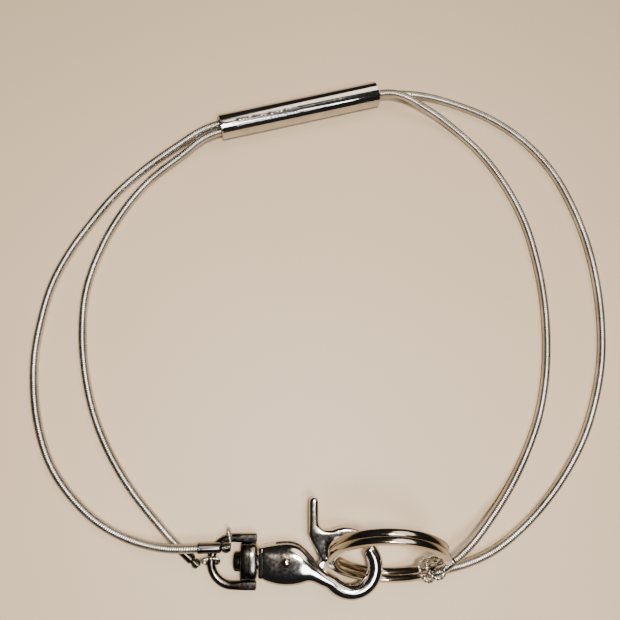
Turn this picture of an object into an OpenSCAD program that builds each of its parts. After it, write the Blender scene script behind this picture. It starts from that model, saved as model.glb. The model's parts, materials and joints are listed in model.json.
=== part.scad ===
// Clip-on wire lanyard: two close-wound steel cords run through a slide tube.
// One pair of cord ends holds the swivel trigger snap hook, the other pair a split ring.
// It lies on the plane z = 0, clipped shut with the ring in the hook.

/* [Cords] */
// Diameter of each close-wound cord
cord_d = 2.2; // [1.8:0.1:2.3]
// Diameter of the wire that makes the eyes at the cord ends
eye_wire_d = 0.8; // [0.6:0.05:0.8]

/* [Slide tube] */
// Length of the tube
tube_len = 46; // [42:1:50]
// Outer diameter of the tube
tube_d = 6.8; // [6.8:0.1:7.4]
// Wall thickness of the tube
tube_wall = 0.7; // [0.6:0.1:0.7]
// Chamfer at both mouths of the tube
tube_chamfer = 0.3; // [0.1:0.05:0.4]

/* [Snap hook] */
// Thickness of the hook body
body_t = 5.2; // [5.2:0.1:5.6]
// Thickness of the hook limb
limb_t = 3.1; // [2.8:0.1:3.1]
// Width of the hook limb, across its bend
limb_w = 3.7; // [3.2:0.1:3.8]
// Inside diameter of the hook eye
eye_d = 8.0; // [7.8:0.1:8.6]
// Thickness of the gate
gate_t = 3.2; // [2.8:0.1:3.2]
// Diameter of the pin that the gate turns on
pin_d = 2.0; // [1.8:0.1:2.2]

/* [Swivel] */
// Outside width of the bail
bail_w = 12.8; // [12.4:0.1:13]
// Thickness of the bail
bail_t = 2.1; // [1.9:0.1:2.1]
// Diameter of the stud shank
stud_d = 3.0; // [2.6:0.1:3.2]
// Diameter of the stud head
stud_head_d = 4.6; // [4.4:0.1:5.0]

/* [Split ring] */
// Outer diameter of the ring
ring_d = 28; // [27.6:0.1:28.2]
// Radial thickness of the ring wire
ring_wire_r = 2.0; // [1.6:0.1:2.0]
// Thickness of one coil along the ring's own axis
ring_coil_t = 1.65; // [1.4:0.05:1.7]

/* [Hidden] */

fit = 0.05;          // radial clearance of everything that turns
round_fn = 64;       // facets of a true circle, enough to be read as one
cord_sides = 8;

// Place of the snap hook: the gate pin's centre, and the rise of the hook towards the ring
hook_at = [-8, -60, 3.7];
hook_rise = 5.5;

// Slide tube: centre, and turn about the vertical
tube_at = [-5.2, 59.7, tube_d / 2];
tube_turn = 16;
tube_twist_r = 1.2;    // distance of each cord from the tube's axis

// Split ring: centre, lean from flat, and turn about the vertical
ring_at = [14.9, -58, 13.4];
ring_lean = 64;
ring_turn = -5;
ring_r = ring_d / 2 - ring_wire_r / 2;

// Hook eye in the hook's own frame, where +X runs from the swivel to the eye
eye_at = [15.4, -1];
limb_r = eye_d / 2 + limb_w / 2;
limb_from = 215;
limb_to = 407;
gate_eye_r = 5.1;     // the gate's curve stands a little outside the limb's
slot_t = 2.4;
tongue_t = 1.2;
tongue_z = -0.5;      // middle of the tongue across the slot

// Swivel stations along the hook's axis
washer_x = [-7.0, -6.5];
collar_x = [-6.5, -5.3];
collar_w = 7.4;
barrel_x = [-10.8, -7.05];
head_x = [-12.65, -10.85];
bail_y = bail_w / 2 - bail_t / 2;
bail_bow_x = -12.65;
barrel_t = 5.0;       // the barrel is flattened to this thickness

// Cord ends at the bail: start of each ferrule, its direction and its length
ferrule_d = 2.6;
ferrule_a_at = [-29, -56.7, 4.9];
ferrule_a_dir = [1, -2];
ferrule_a_len = 5.6;
ferrule_b_at = [-33.4, -57.1, 1.35];
ferrule_b_dir = [-42, 0];
ferrule_b_len = 4.2;

// Cord ends at the split ring: where each eye holds the ring, and the wrap behind it
ring_eye_angle_a = -20;
ring_eye_angle_b = -34;
ring_eye_r = 2.45;
bail_eye_r = 1.75;
bail_eye_tilt = 60;   // lean of the eye on the bow, from flat
wrap_d = 2.5;
wrap_len = 3.4;
wrap_a_at = [28.8, -61.4, 8.6];
wrap_a_dir = [28, -17];
wrap_b_at = [27.0, -62.9, 5.6];
wrap_b_dir = [11, -16];

// Direction with a turn about the vertical and a rise above the horizontal
function heading(d) = [cos(d[1]) * cos(d[0]), cos(d[1]) * sin(d[0]), sin(d[1])];
// Place on a line along the tube, off its axis at an angle round it
function in_tube(along, angle) = tube_at + along * [cos(tube_turn), sin(tube_turn), 0]
    + tube_twist_r * (cos(angle) * [-sin(tube_turn), cos(tube_turn), 0] + sin(angle) * [0, 0, 1]);

// Routes of the cords, each from its end piece to the middle of the tube.
// The cords turn partly round each other inside the tube, so the outer cord on
// the left is the inner one on the right.
end_gap = 0.05;
route_a_left = concat(
    [ferrule_a_at - end_gap * heading(ferrule_a_dir)],
    [[-36, -56.8, 4.0], [-44, -55.4, 2.1], [-52.5, -51.5, 1.2], [-60, -45, 1.1],
     [-65.5, -37.5, 1.1], [-69, -29, 1.1], [-71, -20, 1.1], [-71.7, -11, 1.1],
     [-71, -2, 1.1], [-69, 8, 1.1], [-65.5, 16.5, 1.1], [-60.5, 25, 1.1],
     [-54.8, 33.2, 1.1], [-47.4, 41, 1.2], [-39.3, 47.5, 2.0]],
    [in_tube(-tube_len / 2 - 4, 0) + [-0.1, -0.7, -0.4], in_tube(-tube_len / 2 + 2, 0),
     in_tube(-tube_len / 4, 30), in_tube(-0.02, 67)]);
route_a_right = concat(
    [wrap_a_at + (wrap_len + end_gap) * heading(wrap_a_dir)],
    [[36, -57, 6.2], [42.5, -50.8, 4.2], [49, -43.2, 2.2], [54.5, -34.5, 1.2],
     [58.7, -25, 1.1], [61.3, -15, 1.1], [62.6, -4, 1.1], [62.7, 7, 1.1],
     [61.5, 18, 1.1], [59, 29, 1.1], [54.3, 39.8, 1.1], [47.7, 49.6, 1.1],
     [40.1, 56.8, 1.5], [32.2, 61.9, 2.8]],
    [in_tube(tube_len / 2 + 4, 110) + [0.3, -1.0, 0],
     in_tube(tube_len / 2 - 2, 110) + [0.1, -0.3, 0],
     in_tube(tube_len / 4, 92), in_tube(0.02, 67)]);
route_b_left = concat(
    [ferrule_b_at - end_gap * heading(ferrule_b_dir)],
    [[-39.5, -50.9, 1.1], [-46, -43.3, 1.1], [-51.5, -35, 1.1], [-56, -25.5, 1.1],
     [-59, -15, 1.1], [-60.5, -4.5, 1.1], [-60.4, 6, 1.1], [-57.7, 17, 1.1],
     [-53, 27.5, 1.1], [-46.5, 37, 1.1], [-37.8, 44.9, 1.8]],
    [in_tube(-tube_len / 2 - 4, 180) + [0.1, -0.6, -0.3], in_tube(-tube_len / 2 + 2, 180),
     in_tube(-tube_len / 4, 210), in_tube(-0.02, 247)]);
route_b_right = concat(
    [wrap_b_at + (wrap_len + end_gap) * heading(wrap_b_dir)],
    [[36, -61.2, 3.4], [43, -58.8, 2.2], [51, -53.8, 1.3], [58.5, -47, 1.1],
     [65, -39.2, 1.1], [70.5, -30.5, 1.1], [74.7, -20.5, 1.1], [77.5, -10, 1.1],
     [78.6, 0.5, 1.1], [78.5, 11, 1.1], [77, 22.5, 1.1], [73.7, 34, 1.1],
     [68.5, 45, 1.1], [61, 54, 1.1], [51.5, 60.8, 1.1], [41, 65, 1.2],
     [31.5, 67.0, 1.7]],
    [in_tube(tube_len / 2 + 4, -70) + [0.3, -0.9, 0.2],
     in_tube(tube_len / 2 - 2, -70) + [0.1, -0.3, 0],
     in_tube(tube_len / 4, -88), in_tube(0.02, -113)]);

// Helpers -------------------------------------------------------------------

function unit(v) = v / norm(v);

// Tangent of a route at point i, along the line between its neighbours
function tangent(route, i) = let (last = len(route) - 1)
    unit(route[min(i + 1, last)] - route[max(i - 1, 0)]);

// One ring of points round a route's point, square to the tangent
function ring_points(centre, along, r) = let (
        side = unit(cross(along, [0, 0, 1])),
        up = cross(side, along))
    [for (k = [0 : cord_sides - 1]) let (a = (k + 0.5) * 360 / cord_sides)
        centre + r * (cos(a) * side + sin(a) * up)];

// A closed tube along a route, square-cut at both ends
module swept_cord(route, d, start_dir, end_dir) {
    last = len(route) - 1;
    directions = [for (i = [0 : last])
        i == 0 ? start_dir : i == last ? end_dir : tangent(route, i)];
    points = [for (i = [0 : last]) each ring_points(route[i], directions[i], d / 2)];
    sides = [for (i = [0 : last - 1], k = [0 : cord_sides - 1])
        let (n = (k + 1) % cord_sides, a = i * cord_sides, b = a + cord_sides)
        [a + k, a + n, b + n, b + k]];
    start_cap = [for (k = [cord_sides - 1 : -1 : 0]) k];
    end_cap = [for (k = [0 : cord_sides - 1]) last * cord_sides + k];
    polyhedron(points, concat([start_cap], sides, [end_cap]));
}

module in_hook_frame() {
    translate(hook_at) rotate([0, -hook_rise, 0]) children();
}

module in_ring_frame() {
    translate(ring_at) rotate([0, 0, ring_turn]) rotate([ring_lean, 0, 0]) children();
}

// A cylinder that starts at a place and runs along a heading
module rod_along(at, dir, d, length) {
    translate(at) rotate([0, 90 - dir[1], dir[0]]) cylinder(h = length, d = d, $fn = round_fn);
}

// A cylinder along the hook's own axis between two stations
module on_swivel_axis(span, d) {
    translate([span[0], 0, 0]) rotate([0, 90, 0])
        cylinder(h = span[1] - span[0], d = d, $fn = round_fn);
}

module wire_loop(r, wire_d) {
    rotate_extrude($fn = round_fn) translate([r, 0]) circle(d = wire_d, $fn = 24);
}

// Snap hook -----------------------------------------------------------------

// Outline of the flat body: a pear shape, wider towards the pin
module body_outline() {
    translate([0.6, -0.45]) circle(r = 5.05, $fn = round_fn);
    polygon([[-5.3, -4.1], [-5.3, 3.7], [-1.5, 4.1], [-1.5, -4.7]]);
    translate([5.1, -2.65]) circle(r = 2.1, $fn = round_fn);
}

// Clearance that the gate's tongue sweeps inside the body
module slot_outline() {
    circle(r = 2.5, $fn = round_fn);
    polygon([[0, -2.5], [11, -2.5], [11, 8], [-2.5, 8], [-2.5, 0]]);
}

// Where the neck runs into the limb, and half the neck's width and thickness there
neck_to = limb_from + 5;
limb_start = eye_at + limb_r * [cos(neck_to), sin(neck_to)];
limb_half = (limb_w / 2 - 0.08) * [cos(neck_to), sin(neck_to)];
neck_t = limb_t - 0.2;

module hook_body() color([0.72, 0.72, 0.74]) in_hook_frame() {
    dome_r = 22;
    difference() {
        union() {
            intersection() {
                linear_extrude(body_t, center = true) body_outline();
                translate([0.6, -0.3, body_t / 2 - dome_r]) sphere(r = dome_r, $fn = round_fn);
            }
            translate([collar_x[0], -0.2 - collar_w / 2, -body_t / 2 + 0.3])
                cube([collar_x[1] - collar_x[0] + 0.1, collar_w, body_t - 0.6]);
            // neck from the body to the start of the limb
            linear_extrude(neck_t, center = true)
                polygon([[4.2, -4.5], [7.0, -4.45], limb_start + limb_half, limb_start - limb_half,
                         [6.6, -0.9], [4.2, -0.9]]);
            translate([eye_at[0], eye_at[1], 0]) rotate([0, 0, limb_from])
                rotate_extrude(angle = limb_to - limb_from, $fn = 96)
                    translate([limb_r, 0])
                        polygon([for (a = [0 : 15 : 345])
                            [limb_w / 2 * cos(a), limb_t / 2 * sin(a)]]);
        }
        linear_extrude(slot_t, center = true) slot_outline();
        cylinder(h = body_t + 2, d = pin_d, center = true, $fn = round_fn);
        on_swivel_axis([-7, -3.6], stud_d);
    }
}

// Outline of the gate outside the body: thumb piece, root and curved nose
module gate_outline() {
    tip_angle = 51;
    difference() {
        union() {
            hull() {
                translate([6.6, 13.7]) circle(r = 1.15, $fn = 32);
                translate([6.6, 7.2]) circle(r = 1.15, $fn = 32);
            }
            polygon([[5.45, 7.2], [5.35, 6.2], [8.3, -0.2], [11, -0.2], [12, 5], [10.6, 7.35],
                     [9.1, 7.35], [8.2, 8.1], [7.7, 9.4]]);
            intersection() {
                translate([14.2, 0.4]) circle(r = 7.6, $fn = 96);
                polygon([[8.3, -0.2], [9.4, 9], [26, 9], [26, -0.2]]);
            }
        }
        translate(eye_at) circle(r = gate_eye_r, $fn = 96);
        translate(eye_at) rotate([0, 0, tip_angle - 90]) square([14, 20]);
    }
}

// The thin tongue that carries the gate on its pin
module tongue_outline() {
    circle(r = 2.1, $fn = round_fn);
    polygon([[-0.3, -2.05], [7.6, -2.1], [10, -1.8], [10, 0.6], [7.9, 0.6], [7.3, -0.75],
             [0.8, 1.9]]);
}

module gate() color([0.66, 0.66, 0.68]) in_hook_frame() {
    difference() {
        union() {
            linear_extrude(gate_t, center = true) gate_outline();
            translate([0, 0, tongue_z]) linear_extrude(tongue_t, center = true)
                intersection() {
                    tongue_outline();
                    difference() {
                        circle(r = 30, $fn = 96);
                        translate(eye_at) circle(r = gate_eye_r, $fn = 96);
                    }
                }
        }
        cylinder(h = 10, d = pin_d + 2 * fit, center = true, $fn = round_fn);
    }
}

module gate_pin() color([0.6, 0.6, 0.62]) in_hook_frame() {
    translate([0, 0, -body_t / 2 + 0.1]) cylinder(h = body_t - 0.1, d = pin_d, $fn = round_fn);
    translate([0, 0, body_t / 2 - 0.4]) intersection() {
        cylinder(h = 1, d = pin_d, $fn = round_fn);
        translate([0, 0, -1.1]) sphere(r = 1.8, $fn = round_fn);
    }
}

// Torsion spring round the pin: two turns, one leg on the body and one on the tongue
module gate_spring() color([0.55, 0.55, 0.57]) in_hook_frame() {
    wire = 0.4;
    coil_r = 1.6;
    coil_z = [0.45, 0.82];
    leg = 0.34;       // the legs are drawn a little thinner than the turns
    rotate_extrude($fn = round_fn)
        for (z = coil_z) translate([coil_r, z]) circle(d = wire, $fn = 24);
    translate([0, -coil_r, coil_z[0]]) rotate([0, 90, -20]) cylinder(h = 2.6, d = leg, $fn = 24);
    translate([0, coil_r, coil_z[1]]) rotate([0, 90, -28]) cylinder(h = 3.2, d = leg, $fn = 24);
}

// Swivel --------------------------------------------------------------------

module swivel_stud() color([0.62, 0.62, 0.64]) in_hook_frame() {
    on_swivel_axis([head_x[0], -3.6], stud_d);
    on_swivel_axis(head_x, stud_head_d);
}

module swivel_washer() color([0.7, 0.7, 0.72]) in_hook_frame() difference() {
    on_swivel_axis(washer_x, stud_head_d);
    on_swivel_axis([washer_x[0] - 1, washer_x[1] + 1], stud_d + 2 * fit);
}

module swivel_barrel() color([0.5, 0.5, 0.52]) in_hook_frame() difference() {
    intersection() {
        on_swivel_axis(barrel_x, 2 * (bail_y - bail_t / 2) + 0.2);
        translate([barrel_x[0] - 1, -bail_w / 2, -barrel_t / 2]) cube([6, bail_w, barrel_t]);
    }
    on_swivel_axis([barrel_x[0] - 1, barrel_x[1] + 1], stud_d + 2 * fit);
}

module bail() color([0.55, 0.55, 0.57]) in_hook_frame() {
    arm_len = barrel_x[1] - bail_bow_x;
    for (side = [-1, 1])
        translate([bail_bow_x + arm_len / 2, side * bail_y, 0])
            cube([arm_len, bail_t, bail_t], center = true);
    translate([bail_bow_x, 0, 0]) rotate([0, 0, 90])
        rotate_extrude(angle = 180, $fn = 96)
            translate([bail_y, 0]) circle(d = bail_t, $fn = 32);
}

// Split ring ----------------------------------------------------------------

module split_ring() color([0.66, 0.65, 0.62]) in_ring_frame() {
    corner = 0.35;
    for (side = [-1, 1])
        rotate_extrude($fn = 128)
            translate([ring_r, side * ring_coil_t / 2])
                polygon([for (q = [0 : 3], a = [0 : 15 : 90]) let (
                        sx = (q == 0 || q == 3) ? 1 : -1,
                        sy = q < 2 ? 1 : -1)
                    [sx * (ring_wire_r / 2 - corner), sy * (ring_coil_t / 2 - corner)]
                        + corner * [cos(90 * q + a), sin(90 * q + a)]]);
}

// Slide tube ----------------------------------------------------------------

module slide_tube() color([0.68, 0.68, 0.7]) {
    outer = tube_d / 2;
    inner = outer - tube_wall;
    half = tube_len / 2;
    translate(tube_at) rotate([0, 0, tube_turn]) rotate([0, 90, 0])
        rotate_extrude($fn = 96)
            polygon([[inner, -half], [outer - tube_chamfer, -half], [outer, -half + tube_chamfer],
                     [outer, half - tube_chamfer], [outer - tube_chamfer, half], [inner, half]]);
}

// Cords and their end pieces --------------------------------------------------

tube_dir = [cos(tube_turn), sin(tube_turn), 0];

module cord_a_left() color([0.62, 0.6, 0.57])
    swept_cord(route_a_left, cord_d, -heading(ferrule_a_dir), tube_dir);
module cord_a_right() color([0.62, 0.6, 0.57])
    swept_cord(route_a_right, cord_d, heading(wrap_a_dir), -tube_dir);
module cord_b_left() color([0.62, 0.6, 0.57])
    swept_cord(route_b_left, cord_d, -heading(ferrule_b_dir), tube_dir);
module cord_b_right() color([0.62, 0.6, 0.57])
    swept_cord(route_b_right, cord_d, heading(wrap_b_dir), -tube_dir);

module ferrule_a() color([0.3, 0.3, 0.31]) rod_along(ferrule_a_at, ferrule_a_dir, ferrule_d, ferrule_a_len);
module ferrule_b() color([0.3, 0.3, 0.31]) rod_along(ferrule_b_at, ferrule_b_dir, ferrule_d, ferrule_b_len);

// Small ball of wound wire that closes each eye at the bail
module crimp_a() color([0.4, 0.4, 0.41])
    translate(ferrule_a_at + (ferrule_a_len + 1.1) * heading(ferrule_a_dir)) sphere(d = 2.6, $fn = 32);
module crimp_b() color([0.4, 0.4, 0.41])
    translate(ferrule_b_at + (ferrule_b_len + 1.0) * heading(ferrule_b_dir)) sphere(d = 2.4, $fn = 32);

// Wire eyes round the bail: one on its straight arm, one on its bow
module bail_eye_a() color([0.6, 0.6, 0.6]) in_hook_frame()
    translate([-14, bail_y - 0.1, 0]) rotate([0, 90, 0]) wire_loop(bail_eye_r, eye_wire_d);
module bail_eye_b() color([0.6, 0.6, 0.6]) in_hook_frame()
    translate([bail_bow_x - bail_y, 0, 0]) rotate([bail_eye_tilt, 0, 0])
        wire_loop(bail_eye_r, eye_wire_d);

module wrap_a() color([0.7, 0.7, 0.7]) rod_along(wrap_a_at, wrap_a_dir, wrap_d, wrap_len);
module wrap_b() color([0.7, 0.7, 0.7]) rod_along(wrap_b_at, wrap_b_dir, wrap_d, wrap_len);

module ring_eye(angle) in_ring_frame()
    rotate([0, 0, angle]) translate([ring_r, 0, 0]) rotate([90, 0, 0])
        wire_loop(ring_eye_r, eye_wire_d);
module ring_eye_a() color([0.75, 0.75, 0.75]) ring_eye(ring_eye_angle_a);
module ring_eye_b() color([0.75, 0.75, 0.75]) ring_eye(ring_eye_angle_b);

hook_body();
gate();
gate_pin();
gate_spring();
swivel_stud();
swivel_washer();
swivel_barrel();
bail();
split_ring();
slide_tube();
cord_a_left();
cord_a_right();
cord_b_left();
cord_b_right();
ferrule_a();
ferrule_b();
crimp_a();
crimp_b();
bail_eye_a();
bail_eye_b();
wrap_a();
wrap_b();
ring_eye_a();
ring_eye_b();
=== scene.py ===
import json
from math import atan2, cos, hypot, pi, radians, sin, sqrt

import bmesh
import bpy
from mathutils import Matrix, Vector
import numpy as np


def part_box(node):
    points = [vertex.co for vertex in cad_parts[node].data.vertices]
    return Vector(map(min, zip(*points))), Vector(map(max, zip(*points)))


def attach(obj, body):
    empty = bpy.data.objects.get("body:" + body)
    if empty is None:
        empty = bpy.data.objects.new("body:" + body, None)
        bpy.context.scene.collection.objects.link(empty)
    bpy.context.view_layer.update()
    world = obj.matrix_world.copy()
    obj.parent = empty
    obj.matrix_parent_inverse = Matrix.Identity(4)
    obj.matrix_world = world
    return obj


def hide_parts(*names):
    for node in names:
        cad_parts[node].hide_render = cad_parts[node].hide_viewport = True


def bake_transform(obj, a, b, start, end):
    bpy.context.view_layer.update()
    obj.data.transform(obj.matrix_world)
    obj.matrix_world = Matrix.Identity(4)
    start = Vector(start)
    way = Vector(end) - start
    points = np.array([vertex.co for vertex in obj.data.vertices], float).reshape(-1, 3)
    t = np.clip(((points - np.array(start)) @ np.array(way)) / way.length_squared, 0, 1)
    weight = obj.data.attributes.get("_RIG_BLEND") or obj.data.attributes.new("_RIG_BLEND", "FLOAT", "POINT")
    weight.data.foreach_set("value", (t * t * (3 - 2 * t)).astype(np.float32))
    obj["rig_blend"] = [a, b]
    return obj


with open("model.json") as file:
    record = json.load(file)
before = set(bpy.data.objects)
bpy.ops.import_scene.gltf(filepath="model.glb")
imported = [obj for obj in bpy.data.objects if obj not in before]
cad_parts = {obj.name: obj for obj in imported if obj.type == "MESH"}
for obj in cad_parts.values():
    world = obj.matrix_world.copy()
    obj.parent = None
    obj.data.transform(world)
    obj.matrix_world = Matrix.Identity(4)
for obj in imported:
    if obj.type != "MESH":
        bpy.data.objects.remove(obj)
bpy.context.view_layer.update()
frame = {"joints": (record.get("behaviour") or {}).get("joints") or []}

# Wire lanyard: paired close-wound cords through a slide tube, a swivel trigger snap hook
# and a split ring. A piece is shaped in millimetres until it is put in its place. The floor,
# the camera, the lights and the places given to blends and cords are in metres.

MM = 0.001
UP = Vector((0, 0, 1))

# Places that come from the frame --------------------------------------------------------

JOINTS = {joint["name"]: joint for joint in frame["joints"]}


def placing(origin, x_axis, y_axis, z_axis):
    """The matrix that takes millimetres in a part's own frame to metres in the row frame."""
    turn = Matrix((x_axis, y_axis, z_axis)).transposed().to_4x4()
    return Matrix.Translation(origin) @ turn @ Matrix.Scale(MM, 4)


def hook_frame():
    """The pin is the origin, +X runs to the eye and +Z to the domed face."""
    up = Vector(JOINTS["gate_hinge"]["axis"])
    along = Vector(JOINTS["swivel_turn"]["axis"])
    return placing(Vector(JOINTS["gate_hinge"]["pos_m"]), along, up.cross(along), up)


def ring_frame():
    """The ring's centre is the origin, +X is level in its plane and +Z is its own axis."""
    axis = Vector(JOINTS["ring_spin"]["axis"])
    level = UP.cross(axis).normalized()
    return placing(Vector(JOINTS["ring_spin"]["pos_m"]), level, axis.cross(level), axis)


def tube_frame():
    """The tube's middle is the origin and +X runs along it."""
    low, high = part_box("slide_tube")
    along = Vector(JOINTS["tube_slide"]["axis"])
    return placing((low + high) / 2, along, UP.cross(along), UP)


ROW = Matrix.Scale(MM, 4)
HOOK = hook_frame()
RING = ring_frame()
TUBE = tube_frame()

# Materials ------------------------------------------------------------------------------


def linear(hex_colour):
    """An sRGB hex colour as linear RGBA."""
    parts = [int(hex_colour[i:i + 2], 16) / 255 for i in (1, 3, 5)]
    return [p / 12.92 if p <= 0.04045 else ((p + 0.055) / 1.055) ** 2.4 for p in parts] + [1]


def per_mm(size):
    """A texture's scale, so that its features are this many millimetres apart."""
    return 1 / (size * MM)


def add_node(tree, kind, inputs, **settings):
    """Adds one node. An input is either a value or a socket to link from."""
    made = tree.nodes.new(kind)
    for name, value in settings.items():
        setattr(made, name, value)
    for socket, value in inputs.items():
        if isinstance(value, bpy.types.NodeSocket):
            tree.links.new(value, made.inputs[socket])
        else:
            made.inputs[socket].default_value = value
    return made


def new_material(name):
    """An empty node material with its output, and its object coordinates."""
    material = bpy.data.materials.new(name)
    material.use_nodes = True
    tree = material.node_tree
    tree.nodes.clear()
    output = add_node(tree, "ShaderNodeOutputMaterial", {})
    coords = add_node(tree, "ShaderNodeTexCoord", {}).outputs["Object"]
    return material, tree, output, coords


SCRATCH_TURN = radians(25)     # how far the scratches' run is turned about Z
SCRATCH_STRETCH = 12           # how many times longer than wide a scratch is
SCRATCH_DEPTH = 0.02 * MM
DEEP_AT, PALE_AT = 0.35, 0.65  # where the clouds reach the deep and the pale tone
GRAIN_SPREAD = (0.3, 0.7)      # the noise values that give the least and the most roughness


def metal(name, pale, deep, patch_mm, gloss, grain_mm, scratch_mm, scratch):
    """A plated or drawn metal: cloudy tone, uneven gloss and fine scratches one way. Its
    gloss is given as the least and the most roughness."""
    material, tree, output, coords = new_material(name)
    cloud = add_node(tree, "ShaderNodeTexNoise",
                     {"Vector": coords, "Scale": per_mm(patch_mm), "Detail": 3})
    tone = add_node(tree, "ShaderNodeValToRGB", {"Fac": cloud.outputs["Fac"]})
    tone.color_ramp.elements[0].position = DEEP_AT
    tone.color_ramp.elements[0].color = linear(deep)
    tone.color_ramp.elements[1].position = PALE_AT
    tone.color_ramp.elements[1].color = linear(pale)
    grain = add_node(tree, "ShaderNodeTexNoise",
                     {"Vector": coords, "Scale": per_mm(grain_mm), "Detail": 4})
    uneven = add_node(tree, "ShaderNodeMapRange",
                      {"Value": grain.outputs["Fac"],
                       "From Min": GRAIN_SPREAD[0], "From Max": GRAIN_SPREAD[1],
                       "To Min": gloss[0], "To Max": gloss[1]})
    stretched = add_node(tree, "ShaderNodeMapping",
                         {"Vector": coords, "Rotation": (0, 0, SCRATCH_TURN),
                          "Scale": (1, SCRATCH_STRETCH, SCRATCH_STRETCH)})
    lines = add_node(tree, "ShaderNodeTexNoise",
                     {"Vector": stretched.outputs["Vector"], "Scale": per_mm(scratch_mm),
                      "Detail": 2})
    bump = add_node(tree, "ShaderNodeBump",
                    {"Height": lines.outputs["Fac"], "Strength": scratch,
                     "Distance": SCRATCH_DEPTH})
    shader = add_node(tree, "ShaderNodeBsdfPrincipled",
                      {"Base Color": tone.outputs["Color"], "Metallic": 1.0,
                       "Roughness": uneven.outputs["Result"], "Normal": bump.outputs["Normal"]})
    tree.links.new(shader.outputs["BSDF"], output.inputs["Surface"])
    return material


# Bright nickel plate over polished zinc: a warm mirror with faint cloudiness from handling.
polished_nickel = metal("polished_nickel", "#C6BFB6", "#B5AEA5", patch_mm=6,
                        gloss=(0.07, 0.14), grain_mm=0.8, scratch_mm=3, scratch=0.10)
# Nickel-plated spring steel, tumbled smooth: a hard mirror that turns faintly golden.
bright_steel = metal("tumbled_spring_steel", "#B9B0A1", "#968D7E", patch_mm=5,
                     gloss=(0.09, 0.17), grain_mm=0.6, scratch_mm=2, scratch=0.16)
# Barrel-plated nickel, a little less glossy, whose colour is painted dark grey: a painted dark reflection of
# the dim room on the same nickel, with soft highlights.
nickel_painted_dark = metal("nickel_with_painted_dark_reflection", "#6E6A63", "#4A4641", patch_mm=3,
                    gloss=(0.14, 0.24), grain_mm=0.6, scratch_mm=1.5, scratch=0.06)
# Close-wound stainless wire with a satin skin: each turn catches the light, so the cord
# shines along a line.
wound_wire = metal("close_wound_stainless_wire", "#C8C4BC", "#A6A198", patch_mm=8,
                   gloss=(0.26, 0.36), grain_mm=1.0, scratch_mm=2, scratch=0.06)
# Bright drawn stainless wire: smooth and nearly white where it faces the light.
drawn_wire = metal("bright_drawn_wire", "#DAD7D2", "#BAB6B0", patch_mm=2,
                   gloss=(0.10, 0.18), grain_mm=0.4, scratch_mm=1, scratch=0.12)


def floor_material():
    """Pale matt board: one even warm tone with the slightest unevenness."""
    material, tree, output, coords = new_material("pale_matt_board")
    cloud = add_node(tree, "ShaderNodeTexNoise",
                     {"Vector": coords, "Scale": per_mm(60), "Detail": 2})
    tone = add_node(tree, "ShaderNodeValToRGB", {"Fac": cloud.outputs["Fac"]})
    tone.color_ramp.elements[0].color = linear("#D2BA98")
    tone.color_ramp.elements[1].color = linear("#D8C1A0")
    shader = add_node(tree, "ShaderNodeBsdfPrincipled",
                      {"Base Color": tone.outputs["Color"], "Roughness": 0.55})
    tree.links.new(shader.outputs["BSDF"], output.inputs["Surface"])
    return material


# Modelling tools ------------------------------------------------------------------------

LOFT_WELD = 0.0005     # points closer than this become one
PLATE_WELD = 0.002
WIRE_SIDES = 8
TIP_OUT = 0.4          # how far a wire's eased end stands out, and how thick it is left,
TIP_LEFT = 0.6         # both as parts of the wire's radius
BORE_SIDES = 48
BORE_DEEP = 8          # more than any bored piece measures along its hole


def only(piece):
    """Selects one object and makes it active."""
    bpy.ops.object.select_all(action="DESELECT")
    piece.select_set(True)
    bpy.context.view_layer.objects.active = piece


def rounded(angle, square_top, square_bottom):
    """A point on a section of half size 1: square 2 is round, and more is squarer."""
    power = 2 / (square_top if sin(angle) >= 0 else square_bottom)
    across, up = cos(angle), sin(angle)
    return (abs(across) ** power * (1 if across >= 0 else -1),
            abs(up) ** power * (1 if up >= 0 else -1))


def shape_section(section):
    """Puts the selected loop of points on a section: place, side, up, half sizes, squareness."""
    place, side, up, half_side, half_up, square_top, square_bottom = section
    mesh = bmesh.from_edit_mesh(bpy.context.object.data)
    around = mesh.verts.layers.float["around"]
    for point in mesh.verts:
        if point.select:
            across, height = rounded(point[around], square_top, square_bottom)
            point.co = place + side * (across * half_side) + up * (height * half_up)
    bmesh.update_edit_mesh(bpy.context.object.data)


def loft(name, sections, sides, closed=False):
    """A bar extruded from section to section. A closed one joins its last to its first."""
    bpy.ops.object.select_all(action="DESELECT")
    bpy.ops.mesh.primitive_circle_add(vertices=sides, radius=1, fill_type="NGON")
    piece = bpy.context.object
    piece.name = name
    bpy.ops.object.mode_set(mode="EDIT")
    mesh = bmesh.from_edit_mesh(piece.data)
    around = mesh.verts.layers.float.new("around")
    for point in mesh.verts:
        point[around] = atan2(point.co.y, point.co.x)
    bpy.ops.mesh.select_all(action="SELECT")
    shape_section(sections[0])
    for section in sections[1:]:
        bpy.ops.mesh.extrude_region_move()
        shape_section(section)
    if closed:
        mesh = bmesh.from_edit_mesh(piece.data)
        for face in mesh.faces:
            face.select_set(len(face.verts) == sides)
        bpy.ops.mesh.delete(type="ONLY_FACE")
        bpy.ops.mesh.select_all(action="SELECT")
        bpy.ops.mesh.remove_doubles(threshold=LOFT_WELD)
    bpy.ops.mesh.select_all(action="SELECT")
    bpy.ops.mesh.normals_make_consistent(inside=False)
    bpy.ops.object.mode_set(mode="OBJECT")
    piece.data.attributes.remove(piece.data.attributes["around"])
    return piece


def turned(name, profile, sides, closed=False):
    """A piece turned about X from (x, radius) steps."""
    sections = [(Vector((x, 0, 0)), Vector((0, 1, 0)), Vector((0, 0, 1)), r, r, 2, 2)
                for x, r in profile]
    return loft(name, sections, sides, closed)


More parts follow.
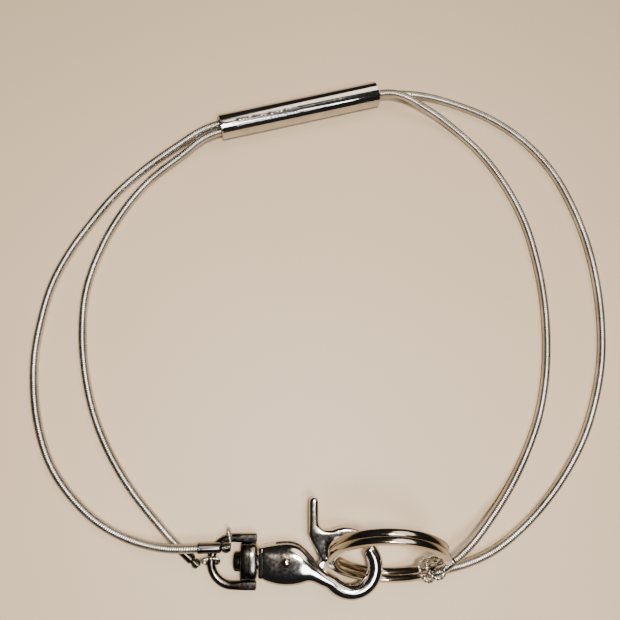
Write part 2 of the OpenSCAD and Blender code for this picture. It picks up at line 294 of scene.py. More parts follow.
def follow(points, half_wire, ends=None):
    """Round sections of a wire along points, square to the line, without twist. The two
    directions in ends, where given, set which way its ends face."""
    sections = []
    last = len(points) - 1
    side = None
    for i, point in enumerate(points):
        ahead = points[min(i + 1, last)] - points[max(i - 1, 0)]
        if ends and i in (0, last):
            ahead = ends[0 if i == 0 else 1]
        ahead = ahead.normalized()
        if side is None:
            side = ahead.cross(UP).normalized()
        else:
            side = (side - ahead * side.dot(ahead)).normalized()
        sections.append((point, side, side.cross(ahead), half_wire, half_wire, 2, 2))
    return sections


def wire(name, points, wire_d, closed=False):
    """A round wire along points, with eased ends when it isn't closed."""
    half = wire_d / 2
    if closed:
        line = points[-1:] + points + points[:1]
        sections = follow(line, half)[1:-1]
        return loft(name, sections + sections[:1], WIRE_SIDES, closed=True)
    sections = follow(points, half)
    first, last = sections[0], sections[-1]
    back = (points[0] - points[1]).normalized() * half * TIP_OUT
    ahead = (points[-1] - points[-2]).normalized() * half * TIP_OUT
    tip_size = (half * TIP_LEFT, half * TIP_LEFT, 2, 2)
    tip_a = (first[0] + back,) + first[1:3] + tip_size
    tip_b = (last[0] + ahead,) + last[1:3] + tip_size
    return loft(name, [tip_a] + sections + [tip_b], WIRE_SIDES)


def plate(name, outline, low, high, edge, resolution=3):
    """A flat piece cut to an outline, with rounded edges."""
    bpy.ops.object.select_all(action="DESELECT")
    bpy.ops.curve.primitive_bezier_circle_add()
    piece = bpy.context.object
    piece.name = name
    flat = piece.data
    flat.dimensions = "2D"
    flat.fill_mode = "BOTH"
    flat.splines.clear()
    line = flat.splines.new("POLY")
    line.points.add(len(outline) - 1)
    for point, (x, y) in zip(line.points, outline):
        point.co = (x, y, 0, 1)
    line.use_cyclic_u = True
    flat.extrude = (high - low) / 2 - edge
    flat.bevel_depth = edge
    flat.bevel_resolution = resolution
    flat.offset = -edge
    piece.location = (0, 0, (high + low) / 2)
    only(piece)
    bpy.ops.object.convert(target="MESH")
    bpy.ops.object.transform_apply(location=True, rotation=True, scale=True)
    bpy.ops.object.mode_set(mode="EDIT")
    bpy.ops.mesh.select_all(action="SELECT")
    bpy.ops.mesh.remove_doubles(threshold=PLATE_WELD)
    bpy.ops.mesh.normals_make_consistent(inside=False)
    bpy.ops.object.mode_set(mode="OBJECT")
    return piece


def combine(piece, other, operation):
    """Cuts the other shape out of the piece, or joins it on, and removes the other."""
    only(piece)
    bpy.ops.object.modifier_add(type="BOOLEAN")
    step = piece.modifiers[-1]
    step.operation = operation
    step.solver = "EXACT"
    step.object = other
    bpy.ops.object.modifier_apply(modifier=step.name)
    bpy.data.objects.remove(other)


def bore(piece, radius, place=(0, 0, 0), turn=(0, 0, 0)):
    """Drills a round hole right through a piece, along Z unless it is turned."""
    bpy.ops.object.select_all(action="DESELECT")
    bpy.ops.mesh.primitive_cylinder_add(vertices=BORE_SIDES, radius=radius, depth=BORE_DEEP,
                                        location=place, rotation=turn)
    combine(piece, bpy.context.object, "DIFFERENCE")


def smooth_by_subdivision(piece, levels):
    """Rounds a piece by subdivision, for good."""
    only(piece)
    bpy.ops.object.modifier_add(type="SUBSURF")
    step = piece.modifiers[-1]
    step.levels = levels
    step.render_levels = levels
    bpy.ops.object.modifier_apply(modifier=step.name)


def finish_piece(piece, where, material, sharp=35):
    """Puts a piece in its place for good, shades it and gives it its finish."""
    only(piece)
    piece.matrix_world = where
    bpy.ops.object.transform_apply(location=True, rotation=True, scale=True)
    bpy.ops.object.shade_smooth_by_angle(angle=radians(sharp))
    piece.data.materials.clear()
    piece.data.materials.append(material)


def arc(centre, radius, start, end, steps):
    """Points (x, y) on an arc, both ends included."""
    turns = [radians(start + (end - start) * i / steps) for i in range(steps + 1)]
    return [(centre[0] + radius * cos(a), centre[1] + radius * sin(a)) for a in turns]


# Camera, light and floor ----------------------------------------------------------------


def camera():
    """Straight above the loop's lower middle, tipped a little towards the tube."""
    data = bpy.data.cameras.new("camera")
    data.sensor_width = 36
    data.lens = 36.87
    data.clip_start = 0.01
    eye = bpy.data.objects.new("camera", data)
    eye.location = (-0.0164, -0.0356, 0.165)
    eye.rotation_euler = (radians(13), radians(-5), 0)
    bpy.context.scene.collection.objects.link(eye)
    bpy.context.scene.camera = eye


def area_light(name, place, target, size, watts, colour):
    """A round lamp at a place, turned to a target."""
    data = bpy.data.lights.new(name, "AREA")
    data.shape = "DISK"
    data.size = size
    data.energy = watts
    data.color = linear(colour)[:3]
    light = bpy.data.objects.new(name, data)
    light.location = place
    light.rotation_euler = (Vector(target) - Vector(place)).to_track_quat("-Z", "Y").to_euler()
    bpy.context.scene.collection.objects.link(light)


def even_light():
    """Soft light from far off, so that the floor stays pale away from the lamps."""
    data = bpy.data.lights.new("even", "SUN")
    data.energy = 1.3
    data.angle = radians(40)
    data.color = linear("#FFF4E6")[:3]
    light = bpy.data.objects.new("even", data)
    light.rotation_euler = Vector((0.5, 0.8, 1.3)).to_track_quat("Z", "Y").to_euler()
    bpy.context.scene.collection.objects.link(light)


def studio():
    """A small soft key above the camera, a weaker fill in front of the loop, an even light
    from far off and a dim grey room."""
    area_light("key", (-0.002, -0.030, 0.30), (-0.005, -0.01, 0), 0.044, 1.2, "#FFF6EA")
    area_light("fill", (0.045, -0.135, 0.30), (0.0, -0.05, 0), 0.11, 0.6, "#EEF2FF")
    even_light()
    world = bpy.data.worlds.new("room")
    bpy.context.scene.world = world
    world.use_nodes = True
    background = world.node_tree.nodes["Background"]
    background.inputs["Color"].default_value = linear("#5A5A5E")
    background.inputs["Strength"].default_value = 0.25


def floor():
    """A wide floor, just under the pieces that lie on it."""
    bpy.ops.object.select_all(action="DESELECT")
    bpy.ops.mesh.primitive_plane_add(size=12, location=(0, 0, -0.05 * MM))
    ground = bpy.context.object
    ground.name = "floor"
    ground.data.materials.append(floor_material())


# Cords ----------------------------------------------------------------------------------

CORD_D = 2.2
WINDING = 0.55         # one turn of the wound wire along the cord
RIDGE = 0.10           # depth between two turns of the winding
RINGS_PER_TURN = 5     # sections to one turn of the winding
CORD_SIDES = 14
PATH_EVERY = 2         # turns between two points of the cord's coarse path
FINE_STEP = 0.25       # spacing of the points that the even ones are measured along
TUBE_LEN = 46
TWIST_R = 1.2          # distance of each cord from the tube's axis
END_GAP = 0.05         # room between a cord's end and the piece on it

FERRULE_D = 2.6
FERRULE_A_AT = Vector((-29, -56.7, 4.9))
FERRULE_A_LEN = 5.6
FERRULE_B_AT = Vector((-33.4, -57.1, 1.35))
FERRULE_B_LEN = 4.2
WRAP_D = 2.5
WRAP_LEN = 3.4
WRAP_A_AT = Vector((28.8, -61.4, 8.6))
WRAP_B_AT = Vector((27.0, -62.9, 5.6))


def heading(turn, rise):
    """The direction turned so many degrees from +X, and so many up from level."""
    turn, rise = radians(turn), radians(rise)
    return Vector((cos(rise) * cos(turn), cos(rise) * sin(turn), sin(rise)))


FERRULE_A_DIR = heading(1, -2)
FERRULE_B_DIR = heading(-42, 0)
WRAP_A_DIR = heading(28, -17)
WRAP_B_DIR = heading(11, -16)

TUBE_MIDDLE = TUBE.translation / MM
TUBE_DIR = Vector(JOINTS["tube_slide"]["axis"])


def in_tube(along, angle, shift=(0, 0, 0)):
    """A place on a line along the tube, off its axis at an angle round it."""
    side = UP.cross(TUBE_DIR)
    off = side * cos(radians(angle)) + UP * sin(radians(angle))
    return TUBE_MIDDLE + TUBE_DIR * along + off * TWIST_R + Vector(shift)


HALF = TUBE_LEN / 2
# Each route runs from its end piece along the ground to the middle of the tube, where the
# two cords turn partly round each other.
ROUTES = {
    "cord_a_left": [FERRULE_A_AT - END_GAP * FERRULE_A_DIR,
        (-36, -56.8, 4.0), (-44, -55.4, 2.1), (-52.5, -51.5, 1.2), (-60, -45, 1.1),
        (-65.5, -37.5, 1.1), (-69, -29, 1.1), (-71, -20, 1.1), (-71.7, -11, 1.1),
        (-71, -2, 1.1), (-69, 8, 1.1), (-65.5, 16.5, 1.1), (-60.5, 25, 1.1),
        (-54.8, 33.2, 1.1), (-47.4, 41, 1.2), (-39.3, 47.5, 2.0),
        in_tube(-HALF - 4, 0, (-0.1, -0.7, -0.4)), in_tube(-HALF + 2, 0),
        in_tube(-HALF / 2, 30), in_tube(-0.02, 67)],
    "cord_a_right": [WRAP_A_AT + (WRAP_LEN + END_GAP) * WRAP_A_DIR,
        (36, -57, 6.2), (42.5, -50.8, 4.2), (49, -43.2, 2.2), (54.5, -34.5, 1.2),
        (58.7, -25, 1.1), (61.3, -15, 1.1), (62.6, -4, 1.1), (62.7, 7, 1.1),
        (61.5, 18, 1.1), (59, 29, 1.1), (54.3, 39.8, 1.1), (47.7, 49.6, 1.1),
        (40.1, 56.8, 1.5), (32.2, 61.9, 2.8),
        in_tube(HALF + 4, 110, (0.3, -1.0, 0)), in_tube(HALF - 2, 110, (0.1, -0.3, 0)),
        in_tube(HALF / 2, 92), in_tube(0.02, 67)],
    "cord_b_left": [FERRULE_B_AT - END_GAP * FERRULE_B_DIR,
        (-39.5, -50.9, 1.1), (-46, -43.3, 1.1), (-51.5, -35, 1.1), (-56, -25.5, 1.1),
        (-59, -15, 1.1), (-60.5, -4.5, 1.1), (-60.4, 6, 1.1), (-57.7, 17, 1.1),
        (-53, 27.5, 1.1), (-46.5, 37, 1.1), (-37.8, 44.9, 1.8),
        in_tube(-HALF - 4, 180, (0.1, -0.6, -0.3)), in_tube(-HALF + 2, 180),
        in_tube(-HALF / 2, 210), in_tube(-0.02, 247)],
    "cord_b_right": [WRAP_B_AT + (WRAP_LEN + END_GAP) * WRAP_B_DIR,
        (36, -61.2, 3.4), (43, -58.8, 2.2), (51, -53.8, 1.3), (58.5, -47, 1.1),
        (65, -39.2, 1.1), (70.5, -30.5, 1.1), (74.7, -20.5, 1.1), (77.5, -10, 1.1),
        (78.6, 0.5, 1.1), (78.5, 11, 1.1), (77, 22.5, 1.1), (73.7, 34, 1.1),
        (68.5, 45, 1.1), (61, 54, 1.1), (51.5, 60.8, 1.1), (41, 65, 1.2), (31.5, 67.0, 1.7),
        in_tube(HALF + 4, -70, (0.3, -0.9, 0.2)), in_tube(HALF - 2, -70, (0.1, -0.3, 0)),
        in_tube(HALF / 2, -88), in_tube(0.02, -113)],
}


def smooth_line(route, step, start_dir, end_dir):
    """Points a step apart along a smooth line through the route's points."""
    points = [Vector(p) for p in route]
    last = len(points) - 1
    tangents = []
    for i in range(last + 1):
        if i == 0:
            tangents.append(start_dir.normalized())
        elif i == last:
            tangents.append(end_dir.normalized())
        else:
            before = points[i] - points[i - 1]
            after = points[i + 1] - points[i]
            mixed = before / before.length ** 2 + after / after.length ** 2
            tangents.append(mixed.normalized())
    fine = [points[0]]
    for i in range(last):
        span = (points[i + 1] - points[i]).length
        count = max(2, round(span / FINE_STEP))
        for k in range(1, count + 1):
            t = k / count
            fine.append(points[i] * (2 * t ** 3 - 3 * t ** 2 + 1)
                        + tangents[i] * span * (t ** 3 - 2 * t ** 2 + t)
                        + points[i + 1] * (3 * t ** 2 - 2 * t ** 3)
                        + tangents[i + 1] * span * (t ** 3 - t ** 2))
    length = sum((b - a).length for a, b in zip(fine, fine[1:]))
    count = round(length / step)
    even, walked, target = [fine[0]], 0.0, length / count
    for a, b in zip(fine, fine[1:]):
        piece = (b - a).length
        while len(even) < count and walked + piece >= target * len(even):
            even.append(a.lerp(b, (target * len(even) - walked) / piece))
        walked += piece
    even.append(fine[-1])
    return even, length


def wound_cord(name, start_dir, end_dir):
    """A cord with the ridges of its winding. Returns it, its line and its length."""
    line, length = smooth_line(ROUTES[name], WINDING / RINGS_PER_TURN, start_dir, end_dir)
    sections = follow(line, CORD_D / 2, ends=(start_dir, end_dir))
    points, faces = [], []
    for i, (place, side, up, *_) in enumerate(sections):
        for k in range(CORD_SIDES):
            angle = 2 * pi * k / CORD_SIDES
            phase = 2 * pi * i / RINGS_PER_TURN - angle
            radius = CORD_D / 2 - RIDGE * (0.5 - 0.5 * cos(phase))
            points.append(place + side * (radius * cos(angle)) + up * (radius * sin(angle)))
    for i in range(len(sections) - 1):
        for k in range(CORD_SIDES):
            a, b = i * CORD_SIDES + k, i * CORD_SIDES + (k + 1) % CORD_SIDES
            faces.append((a, a + CORD_SIDES, b + CORD_SIDES, b))
    faces.append(tuple(range(CORD_SIDES)))
    top = (len(sections) - 1) * CORD_SIDES
    faces.append(tuple(top + k for k in reversed(range(CORD_SIDES))))
    mesh = bpy.data.meshes.new(name)
    mesh.from_pydata(points, [], faces)
    piece = bpy.data.objects.new("wound_" + name, mesh)
    bpy.context.scene.collection.objects.link(piece)
    only(piece)
    bpy.ops.object.mode_set(mode="EDIT")
    bpy.ops.mesh.select_all(action="SELECT")
    bpy.ops.mesh.normals_make_consistent(inside=False)
    bpy.ops.object.mode_set(mode="OBJECT")
    finish_piece(piece, ROW, wound_wire, sharp=60)
    return piece, line, length


def lay_cord(name, start_dir, end_dir, body, start, end):
    """One length of cord that flexes between the hook's side and its end piece."""
    piece, line, length = wound_cord(name, start_dir, end_dir)
    path = [tuple(point * MM) for point in line[::RINGS_PER_TURN * PATH_EVERY]]
    path.append(tuple(line[-1] * MM))
    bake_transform(piece, "hook", body, start=start, end=end)
    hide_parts(name)


# Cord end pieces ------------------------------------------------------------------------

CRIMP_WIRE = 0.5
CRIMP_TURNS = 5
CRIMP_STEPS = 16       # points to one turn
CRIMP_SPREAD = 0.92    # how much of the ball's length its turns take up
CRIMP_LEAST_R = 0.22   # radius of the first and last turns
CRIMP_SWELL = 1.15     # how much thicker the wire is than the one that the ball is sized by
WRAP_WIRE = 0.55
WRAP_STEPS = 20
EYE_WIRE = 0.5
EYE_STEPS = 160
EYE_TWISTS = 6.5       # twists in one round: the half puts the second round opposite the first
EYE_LAY = 0.45         # how far the strand lies off the eye's line, in wire thicknesses


def along_frame(place, direction):
    """A frame at a place whose +X runs along a direction."""
    side = UP.cross(direction).normalized()
    return placing(place * MM, direction, side, direction.cross(side))


def ferrule(name, place, direction, length):
    """A pressed sleeve with a rolled mouth and a rounded far end."""
    r = FERRULE_D / 2
    profile = [(0, r - 0.25), (0.06, r - 0.08), (0.2, r), (0.45, r), (0.55, r - 0.05),
               (length - 0.7, r - 0.05), (length - 0.45, r - 0.08), (length - 0.2, r - 0.18),
               (length - 0.05, r - 0.34), (length, r - 0.6)]
    piece = turned(name + "_sleeve", profile, 32)
    finish_piece(piece, along_frame(place, direction), nickel_painted_dark)
    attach(piece, "swivel")
    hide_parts(name)
    return piece


def wound_ball(name, centre, direction, diameter):
    """A ball of wire wound round the cord's end."""
    points = []
    reach = diameter / 2 - CRIMP_WIRE / 2
    steps = CRIMP_TURNS * CRIMP_STEPS
    for i in range(steps + 1):
        t = i / steps
        along = reach * (2 * t - 1) * CRIMP_SPREAD
        r = max(CRIMP_LEAST_R, sqrt(reach ** 2 - along ** 2))
        angle = 2 * pi * CRIMP_TURNS * t
        points.append(Vector((along, r * cos(angle), r * sin(angle))))
    piece = wire(name + "_ball", points, CRIMP_WIRE * CRIMP_SWELL)
    finish_piece(piece, along_frame(centre, direction), nickel_painted_dark, 60)
    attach(piece, "swivel")
    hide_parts(name)
    return piece


def wire_wrap(name, place, direction):
    """Bright wire wound close round the cord's end."""
    turns = round(WRAP_LEN / WRAP_WIRE) - 1
    r = WRAP_D / 2 - WRAP_WIRE / 2
    steps = turns * WRAP_STEPS
    points = []
    for i in range(steps + 1):
        t = i / steps
        angle = 2 * pi * turns * t
        points.append(Vector((WRAP_WIRE / 2 + t * (WRAP_LEN - WRAP_WIRE),
                              r * cos(angle), r * sin(angle))))
    piece = wire(name + "_winding", points, WRAP_WIRE)
    finish_piece(piece, along_frame(place, direction), drawn_wire, 60)
    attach(piece, "ring_ends")
    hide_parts(name)
    return piece


def wire_eye(name, radius, stretch, where, body):
    """An eye of twisted wire in the XZ plane: one strand that runs twice round it."""
    lay = EYE_WIRE * EYE_LAY
    points = []
    for i in range(2 * EYE_STEPS):
        angle = 2 * pi * i / EYE_STEPS
        lean = angle * EYE_TWISTS
        r = radius + lay * cos(lean)
        points.append(Vector((r * stretch * cos(angle), lay * sin(lean), r * sin(angle))))
    piece = wire(name + "_loop", points, EYE_WIRE, closed=True)
    finish_piece(piece, where, drawn_wire, 60)
    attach(piece, body)
    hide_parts(name)


# Snap hook ------------------------------------------------------------------------------

EYE_AT = (15.4, -1)
EYE_D = 8.0
LIMB_T = 3.1           # the limb's thickness, from the flat back to the domed face
LIMB_W = 3.7           # and its width, across the eye's round
GATE_EYE_D = 10.2      # the round of the gate's inner side, wider than the eye
LIMB_R = EYE_D / 2 + LIMB_W / 2
LIMB_FROM = 220        # where the limb leaves the neck and where it ends, in degrees
LIMB_TO = 407
LIMB_STEPS = 31
LIMB_TIP = 0.3         # how much the limb's last section is drawn in
BODY_T = 5.2
SLOT_T = 2.4
SLOT_R = 2.5
PIN_D = 2.0
PIN_FIT = 0.08         # room round the pin in the body
GATE_FIT = 0.05        # and in the gate
GATE_T = 3.2
GATE_EDGE = 0.84
GATE_NOSE = 51         # the gate's inner side runs between these, in degrees about the eye
GATE_HEEL = 165
THUMB_AT, THUMB_R = (6.6, 13.7), 1.15
BACK_AT, BACK_R = (14.2, 0.4), 7.6
FILLET_AT, FILLET_R = (9.7, 9.2), 1.95
TONGUE_R = 2.1
TONGUE_Z = (-1.1, 0.1)
SPRING_R = 1.6
SPRING_WIRE = 0.36
SPRING_TURNS = 2
SPRING_STEPS = 20      # points to one turn
SPRING_Z, SPRING_RISE = 0.42, 0.45


def hook_section(x, y, turn, half_w, half_t, square_top, square_bottom):
    """A section of the hook at x, y, turned about Z."""
    side = Vector((-sin(radians(turn)), cos(radians(turn)), 0))
    return (Vector((x, y, 0)), side, UP, half_w, half_t, square_top, square_bottom)


def hook_body():
    """Cast body with a collar, a domed face, a neck and an oval limb bent into the eye."""
    flat = BODY_T / 2
    stations = [
        (-6.50, -0.2, 0, 3.5, 2.1, 5, 5), (-6.42, -0.2, 0, 3.68, 2.28, 6, 6),
        (-5.62, -0.2, 0, 3.7, 2.3, 6, 6), (-5.56, -0.2, 0, 3.7, 2.3, 5, 6),
        (-5.50, -0.22, 0, 3.86, 2.42, 4, 6), (-5.30, -0.25, 0, 4.02, 2.54, 3.4, 6),
        (-4.2, -0.4, 0, 4.4, flat, 3, 6), (-2.4, -0.5, 0, 4.8, flat, 2.8, 6),
        (-0.6, -0.5, 0, 5.0, flat, 2.8, 6), (1.2, -0.5, 0, 5.0, flat, 2.8, 6),
        (2.8, -0.6, 0, 4.65, flat, 2.8, 6), (4.1, -0.95, -2, 4.05, 2.55, 2.7, 5),
        (5.2, -1.45, -6, 3.25, 2.42, 2.6, 4), (6.15, -2.05, -14, 2.62, 2.2, 2.5, 3.5),
        (7.0, -2.62, -24, 2.25, 2.0, 2.4, 3), (7.95, -3.2, -33, 2.05, 1.85, 2.2, 2.6),
        (9.1, -4.0, -41, 1.93, 1.68, 2.1, 2.2)]
    sections = [hook_section(*station) for station in stations]
    for i in range(LIMB_STEPS + 1):
        angle = LIMB_FROM + (LIMB_TO - LIMB_FROM) * i / LIMB_STEPS
        x = EYE_AT[0] + LIMB_R * cos(radians(angle))
        y = EYE_AT[1] + LIMB_R * sin(radians(angle))
        less = 0 if i < LIMB_STEPS else LIMB_TIP
        sections.append(hook_section(x, y, angle + 90, LIMB_W / 2 - less, LIMB_T / 2 - less,
                                     2, 2))
    piece = loft("cast_hook_body", sections, 32)
    smooth_by_subdivision(piece, 1)
    slot = arc((0, 0), SLOT_R, 180, 270, 12) + [(11, -SLOT_R), (11, 8), (-SLOT_R, 8)]
    combine(piece, plate("slot_cutter", slot, -SLOT_T / 2, SLOT_T / 2, 0.05), "DIFFERENCE")
    bore(piece, PIN_D / 2 + PIN_FIT)
    finish_piece(piece, HOOK, polished_nickel)
    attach(piece, "hook")
    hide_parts("hook_body")


def gate():
    """Trigger lever: thumb piece, curved nose and the thin tongue on the pin."""
    inner = arc(EYE_AT, GATE_EYE_D / 2, GATE_NOSE, GATE_HEEL, 30)
    thumb = arc(THUMB_AT, THUMB_R, 0, 180, 12)
    outer = arc(BACK_AT, BACK_R, 114, 50, 20)
    fillet = arc(FILLET_AT, FILLET_R, 180, 262, 8)
    outline = (inner + [(9.7, 0.0), (8.45, -0.05), (5.35, 6.2), (5.45, 7.2)]
               + thumb[::-1] + fillet + outer)
    piece = plate("trigger_gate", outline, -GATE_T / 2, GATE_T / 2, GATE_EDGE, 6)
    tongue = arc((0, 0), TONGUE_R, 75, 262, 24)
    tongue += [(7.6, -2.1), (8.7, -1.9), (9.3, 0.3), (7.9, 0.6), (7.3, -0.75), (0.8, 1.9)]
    combine(piece, plate("gate_tongue", tongue, *TONGUE_Z, 0.08), "UNION")
    bore(piece, PIN_D / 2 + GATE_FIT)
    finish_piece(piece, HOOK, polished_nickel)
    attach(piece, "gate")
    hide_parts("gate")


def gate_pin():
    """Rivet with a domed head at the face and a flat one at the back."""
    r = PIN_D / 2
    top = BODY_T / 2
    profile = [(-top + 0.05, r - 0.12), (-top + 0.15, r), (top - 0.12, r)]
    profile += [(top - 0.12 + 0.42 * sin(radians(a)), r * cos(radians(a)))
                for a in range(12, 86, 12)]
    piece = turned("domed_rivet", profile, 32)
    upright = HOOK @ Matrix.Rotation(radians(-90), 4, "Y")
    finish_piece(piece, upright, polished_nickel, 50)
    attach(piece, "hook")
    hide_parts("gate_pin")


def gate_spring():
    """Torsion spring of fine wire round the pin."""
    points = [Vector((2.3, -2.35, 0.35)), Vector((1.1, -1.95, 0.38))]
    steps = SPRING_TURNS * SPRING_STEPS
    for i in range(steps + 1):
        a = radians(-90) - 2 * pi * SPRING_TURNS * i / steps
        points.append(Vector((SPRING_R * cos(a), SPRING_R * sin(a),
                              SPRING_Z + SPRING_RISE * i / steps)))
    points += [Vector((-0.6, -1.75, 0.88)), Vector((-1.9, -1.9, 0.88))]
    piece = wire("torsion_spring", points, SPRING_WIRE)
    finish_piece(piece, HOOK, bright_steel, 60)
    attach(piece, "hook")
    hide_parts("gate_spring")


# Swivel ---------------------------------------------------------------------------------

WASHER_X = (-7.0, -6.5)  # where each piece starts and ends along the hook
BARREL_X = (-10.8, -7.05)
HEAD_X = (-12.65, -10.85)
STUD_D = 3.0
HEAD_D = 4.6
STUD_FIT = 0.05        # room between the stud and the pieces on it
BAIL_W = 12.8
BAIL_T = 2.1
BAIL_Y = BAIL_W / 2 - BAIL_T / 2
BOW_X = -12.65
BARREL_T = 5.0


def swivel():
    """Headed stud and washer, and the block and loop that turn on the stud."""
    r, h = STUD_D / 2, HEAD_D / 2
    low, high = HEAD_X
    stud = turned("headed_stud", [
        (low - 0.05, 0.1), (low, h - 1.2), (low + 0.1, h - 0.5), (low + 0.3, h - 0.15),
        (low + 0.6, h), (high - 0.2, h), (high, h - 0.2), (high, r), (-3.7, r)], 40)
    finish_piece(stud, HOOK, nickel_painted_dark)
    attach(stud, "hook")
    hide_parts("swivel_stud")
    low, high = WASHER_X
    inner = r + STUD_FIT
    washer = turned("thin_washer", [(low, inner), (low, h - 0.1), (low + 0.1, h), (high - 0.1, h),
                                    (high, h - 0.1), (high, inner), (low, inner)], 40, True)
    finish_piece(washer, HOOK, polished_nickel)
    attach(washer, "hook")
    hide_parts("swivel_washer")
    barrel()
    bail()


def barrel():
    """Flattened block with eased edges and a shallow groove round its middle."""
    low, high = BARREL_X
    half_w, half_t = BAIL_Y - BAIL_T / 2 + 0.05, BARREL_T / 2
    steps = [(low, 0.35, 3), (low + 0.12, 0.12, 3), (low + 0.35, 0, 3), (low + 1.5, 0, 3),
             (low + 1.65, 0.14, 3), (high - 1.65, 0.14, 3), (high - 1.5, 0, 3),
             (high - 0.35, 0, 3), (high - 0.12, 0.12, 3), (high, 0.35, 3)]
    sections = [(Vector((x, 0, 0)), Vector((0, 1, 0)), UP, half_w - less, half_t - less, n, n)
                for x, less, n in steps]
    piece = loft("swivel_block", sections, 40)
    bore(piece, STUD_D / 2 + STUD_FIT, ((low + high) / 2, 0, 0), (0, radians(90), 0))
    finish_piece(piece, HOOK, nickel_painted_dark)
    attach(piece, "swivel")
    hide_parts("swivel_barrel")


def bail():
    """D-shaped loop: square arms with eased ends that run into a round bow."""
    half = BAIL_T / 2
    line = [(BARREL_X[1], BAIL_Y, 0.8), (BARREL_X[1] - 0.15, BAIL_Y, 1.0)]
    line += [(BARREL_X[1] - 0.8 * i, BAIL_Y, 1.0) for i in range(1, 7)]
    bow = [(x, y, 1.0) for x, y in arc((BOW_X, 0), BAIL_Y, 90, 270, 32)]
    points = line + bow + [(x, -y, k) for x, y, k in reversed(line)]
    last = len(points) - 1
    sections = []
    for i, (x, y, size) in enumerate(points):
        a, b = points[max(i - 1, 0)], points[min(i + 1, last)]
        turn = atan2(b[1] - a[1], b[0] - a[0])
        side = Vector((-sin(turn), cos(turn), 0))
        square = 2.2 + 3 * min(1, max(0, (x - BOW_X) / 3))
        sections.append((Vector((x, y, 0)), side, UP, half * size, half * size, square, square))
    piece = loft("swivel_bail", sections, 24)
    finish_piece(piece, HOOK, nickel_painted_dark, 40)
    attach(piece, "swivel")
    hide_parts("bail")


# Split ring -----------------------------------------------------------------------------

RING_D = 28
RING_WIRE = 2.0
COIL_T = 1.65          # thickness of one coil along the ring's axis
RING_R = RING_D / 2 - RING_WIRE / 2
RING_CROSS = 25        # degrees either side of the crossing from coil to coil
RING_STEPS = 168
RING_SQUARE = 4.5      # squareness of the strip's section


def split_ring():
    """One strip wound twice, that crosses from one coil to the other."""
    start, end = RING_CROSS, 720 - RING_CROSS
    sections = []
    for i in range(RING_STEPS + 1):
        angle = start + (end - start) * i / RING_STEPS
        t = min(1, max(0, (angle - (360 - RING_CROSS)) / (2 * RING_CROSS)))
        shift = COIL_T * (t * t * (3 - 2 * t) - 0.5)
        out = Vector((cos(radians(angle)), sin(radians(angle)), 0))
        near_end = min(i, RING_STEPS - i)
        size = (0.8, 0.97, 1)[min(near_end, 2)]
        sections.append((out * RING_R + UP * shift, out, UP, RING_WIRE / 2 * size,
                         COIL_T / 2 * size, RING_SQUARE, RING_SQUARE))
    piece = loft("wound_split_ring", sections, 20)
    finish_piece(piece, RING, bright_steel, 40)
    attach(piece, "ring")
    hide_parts("split_ring")


# Slide tube -----------------------------------------------------------------------------

TUBE_R = 3.4
TUBE_BORE_R = TUBE_R - 0.7
TUBE_CHAMFER = 0.25
MOUTH_R = 3.0          # the bore opens out over its last stretch, clear of the cords
MOUTH_DEEP = 2.0
TICKS = 20
TICK_FIRST = -HALF + 4.6
TICK_PITCH = 0.9
TICK_W = 0.24
TICK_DEPTH = 0.08
TICK_TURN = 25         # how far the ticks' middle is turned from the top, in degrees
TICK_REACH = 10        # how far a tick runs either side of its middle, in degrees
LONG_REACH = 16        # and a long one, which is every fifth
LONG_EVERY = 5


def slide_tube():
    """Open tube with chamfered rims, flared mouths and a band of fine tick grooves."""
    profile = [(-HALF, MOUTH_R), (-HALF, TUBE_R - TUBE_CHAMFER), (-HALF + TUBE_CHAMFER, TUBE_R)]
    for i in range(TICKS):
        x = TICK_FIRST + TICK_PITCH * i
        profile += [(x + TICK_W * part, TUBE_R) for part in (-0.5, -0.25, 0.25, 0.5)]
    profile += [(HALF - TUBE_CHAMFER, TUBE_R), (HALF, TUBE_R - TUBE_CHAMFER), (HALF, MOUTH_R),
                (HALF - MOUTH_DEEP, TUBE_BORE_R), (-HALF + MOUTH_DEEP, TUBE_BORE_R),
                (-HALF, MOUTH_R)]
    piece = turned("slide_tube_shell", profile, 96, True)
    only(piece)
    bpy.ops.object.mode_set(mode="EDIT")
    bpy.ops.mesh.select_all(action="DESELECT")
    mesh = bmesh.from_edit_mesh(piece.data)
    for point in mesh.verts:
        x, y, z = point.co
        number = round((x - TICK_FIRST) / TICK_PITCH)
        in_groove = abs(x - TICK_FIRST - TICK_PITCH * number) < TICK_W / 3
        reach = LONG_REACH if number % LONG_EVERY == 0 else TICK_REACH
        in_reach = abs(atan2(y, z) + radians(TICK_TURN)) < radians(reach)
        if 0 <= number < TICKS and in_groove and in_reach and z > TUBE_BORE_R / 2:
            point.select = hypot(y, z) > TUBE_R - TICK_DEPTH
    mesh.select_flush_mode()
    bmesh.update_edit_mesh(piece.data)
    shrink = 1 - TICK_DEPTH / TUBE_R
    bpy.ops.transform.resize(value=(1, shrink, shrink), center_override=(0, 0, 0))
    bpy.ops.object.mode_set(mode="OBJECT")
    finish_piece(piece, TUBE, polished_nickel)
    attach(piece, "tube")
    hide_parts("slide_tube")


# Put together ---------------------------------------------------------------------------

camera()
studio()
floor()

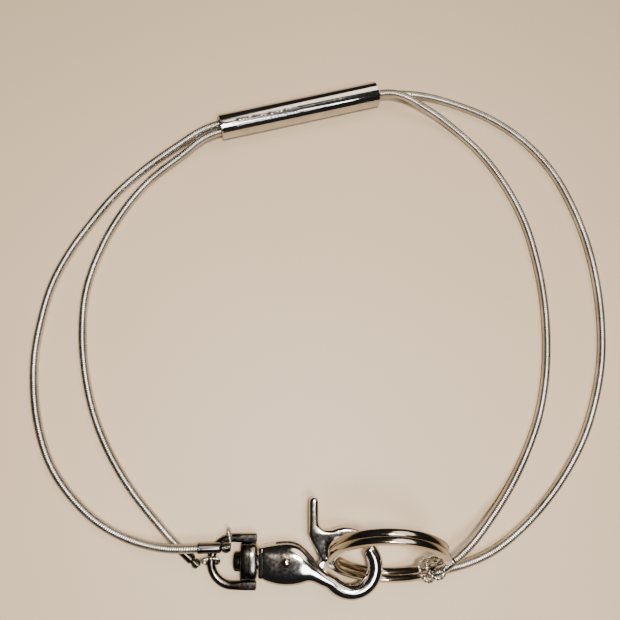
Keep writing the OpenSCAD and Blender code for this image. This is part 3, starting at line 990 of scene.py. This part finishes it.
ferrule_a = ferrule("ferrule_a", FERRULE_A_AT, FERRULE_A_DIR, FERRULE_A_LEN)
ferrule_b = ferrule("ferrule_b", FERRULE_B_AT, FERRULE_B_DIR, FERRULE_B_LEN)
ball_a = wound_ball("crimp_a", FERRULE_A_AT + (FERRULE_A_LEN + 1.1) * FERRULE_A_DIR,
                    FERRULE_A_DIR, 2.6)
ball_b = wound_ball("crimp_b", FERRULE_B_AT + (FERRULE_B_LEN + 1.0) * FERRULE_B_DIR,
                    FERRULE_B_DIR, 2.4)
wrap_a = wire_wrap("wrap_a", WRAP_A_AT, WRAP_A_DIR)
wrap_b = wire_wrap("wrap_b", WRAP_B_AT, WRAP_B_DIR)

lay_cord("cord_a_left", -FERRULE_A_DIR, TUBE_DIR, "swivel", (-0.043, -0.046, 0.003),
         (-0.033, -0.058, 0.003))
lay_cord("cord_b_left", -FERRULE_B_DIR, TUBE_DIR, "swivel", (-0.046, -0.0433, 0.001),
         (-0.035, -0.0555, 0.001))
lay_cord("cord_a_right", WRAP_A_DIR, -TUBE_DIR, "ring_ends", (0.049, -0.0432, 0.0022),
         (0.033, -0.059, 0.0072))
lay_cord("cord_b_right", WRAP_B_DIR, -TUBE_DIR, "ring_ends", (0.048, -0.050, 0.004),
         (0.036, -0.0635, 0.004))

# The eye on the bail's arm stands across it, the one on the bow leans over it.
on_arm = (Matrix.Translation((-14, BAIL_Y - 0.1, 0)) @ Matrix.Rotation(radians(18), 4, "Y")
          @ Matrix.Rotation(radians(90), 4, "Z"))
on_bow = (Matrix.Translation((BOW_X - BAIL_Y - 0.3, 0, 0))
          @ Matrix.Rotation(radians(-30), 4, "X"))
wire_eye("bail_eye_a", 1.75, 1.2, HOOK @ on_arm, "swivel")
wire_eye("bail_eye_b", 1.75, 1.2, HOOK @ on_bow, "swivel")
for name, angle in (("ring_eye_a", -20), ("ring_eye_b", -34)):
    place = Matrix.Rotation(radians(angle), 4, "Z") @ Matrix.Translation((RING_R, 0, 0))
    wire_eye(name, 2.5, 1.0, RING @ place, "ring_ends")

hook_body()
gate()
gate_pin()
gate_spring()
swivel()
split_ring()
slide_tube()
